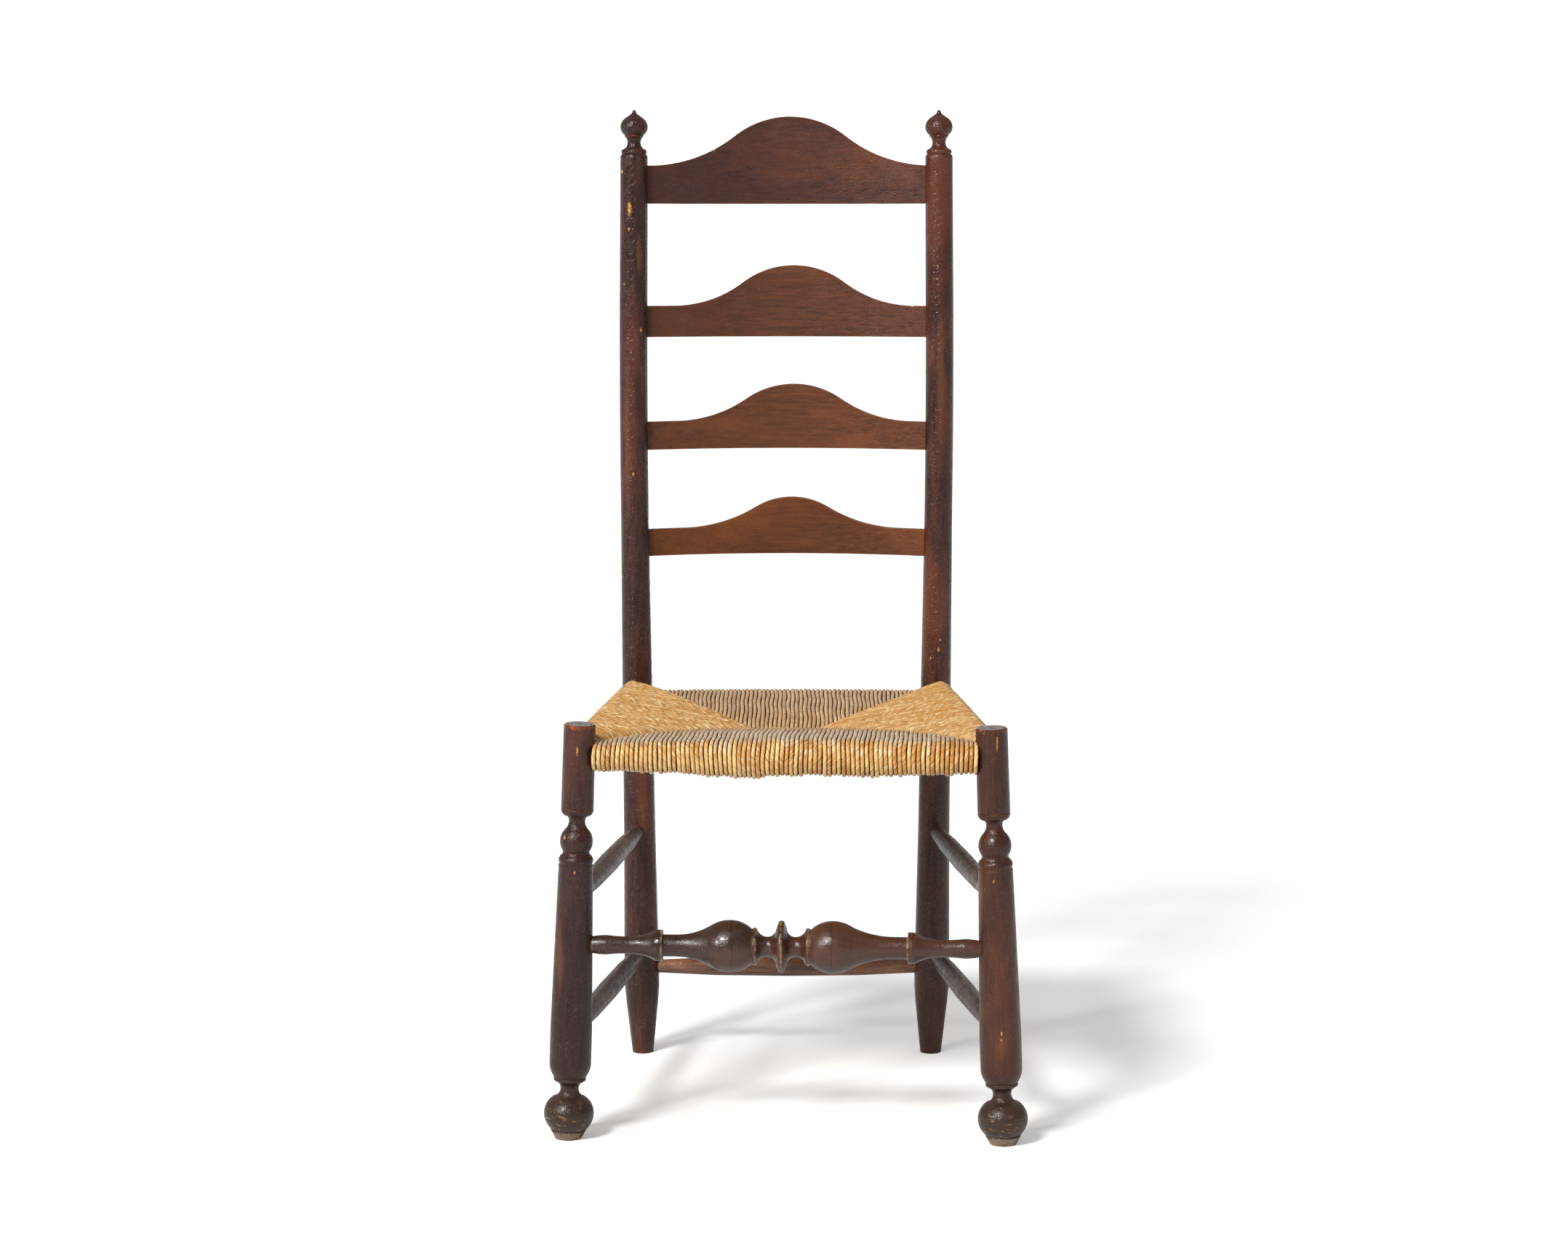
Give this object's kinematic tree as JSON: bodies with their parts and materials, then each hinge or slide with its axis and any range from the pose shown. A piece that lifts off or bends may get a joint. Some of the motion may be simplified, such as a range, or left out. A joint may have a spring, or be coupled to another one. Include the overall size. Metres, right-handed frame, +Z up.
{
  "type": "ladderback chair",
  "caption": "Turned side chair with arched bowed back slats, ball front feet, a bulbous turned front stretcher and a mitred rush seat.",
  "frame": {"origin": "middle of the rectangle the chair covers on the floor, on the floor", "axes": "+Z up, -Y the way the sitter faces, +X to the right as seen from the front"},
  "size_m": [0.5128, 0.5037, 1.0718],
  "materials": {
    "post_wood": "aged satin varnish over dark stain",
    "leg_wood": "aged satin varnish over dark stain, worn on the feet and top edges",
    "slat_wood": "aged satin varnish over dark stain",
    "stretcher_wood": "aged satin varnish over dark stain",
    "rung_wood": "worn dark stain",
    "rail_wood": "bare shaved wood",
    "rush": "twisted natural rush, lightly varnished",
    "stuffing": "packed dry rush ends"
  },
  "bodies": {
    "root": {"rear_post_left": "post_wood", "rear_post_right": "post_wood", "front_leg_left": "leg_wood", "front_leg_right": "leg_wood", "slat_top": "slat_wood", "slat_upper": "slat_wood", "slat_lower": "slat_wood", "slat_bottom": "slat_wood", "seat_rail_front": "rail_wood", "seat_rail_rear": "rail_wood", "seat_rail_left": "rail_wood", "seat_rail_right": "rail_wood", "rush_seat": "rush", "stuffing_front": "stuffing", "stuffing_rear": "stuffing", "stuffing_left": "stuffing", "stuffing_right": "stuffing", "stretcher_front": "stretcher_wood", "stretcher_rear": "rung_wood", "rung_upper_left": "rung_wood", "rung_upper_right": "rung_wood", "rung_lower_left": "rung_wood", "rung_lower_right": "rung_wood"}
  },
  "joints": []
}
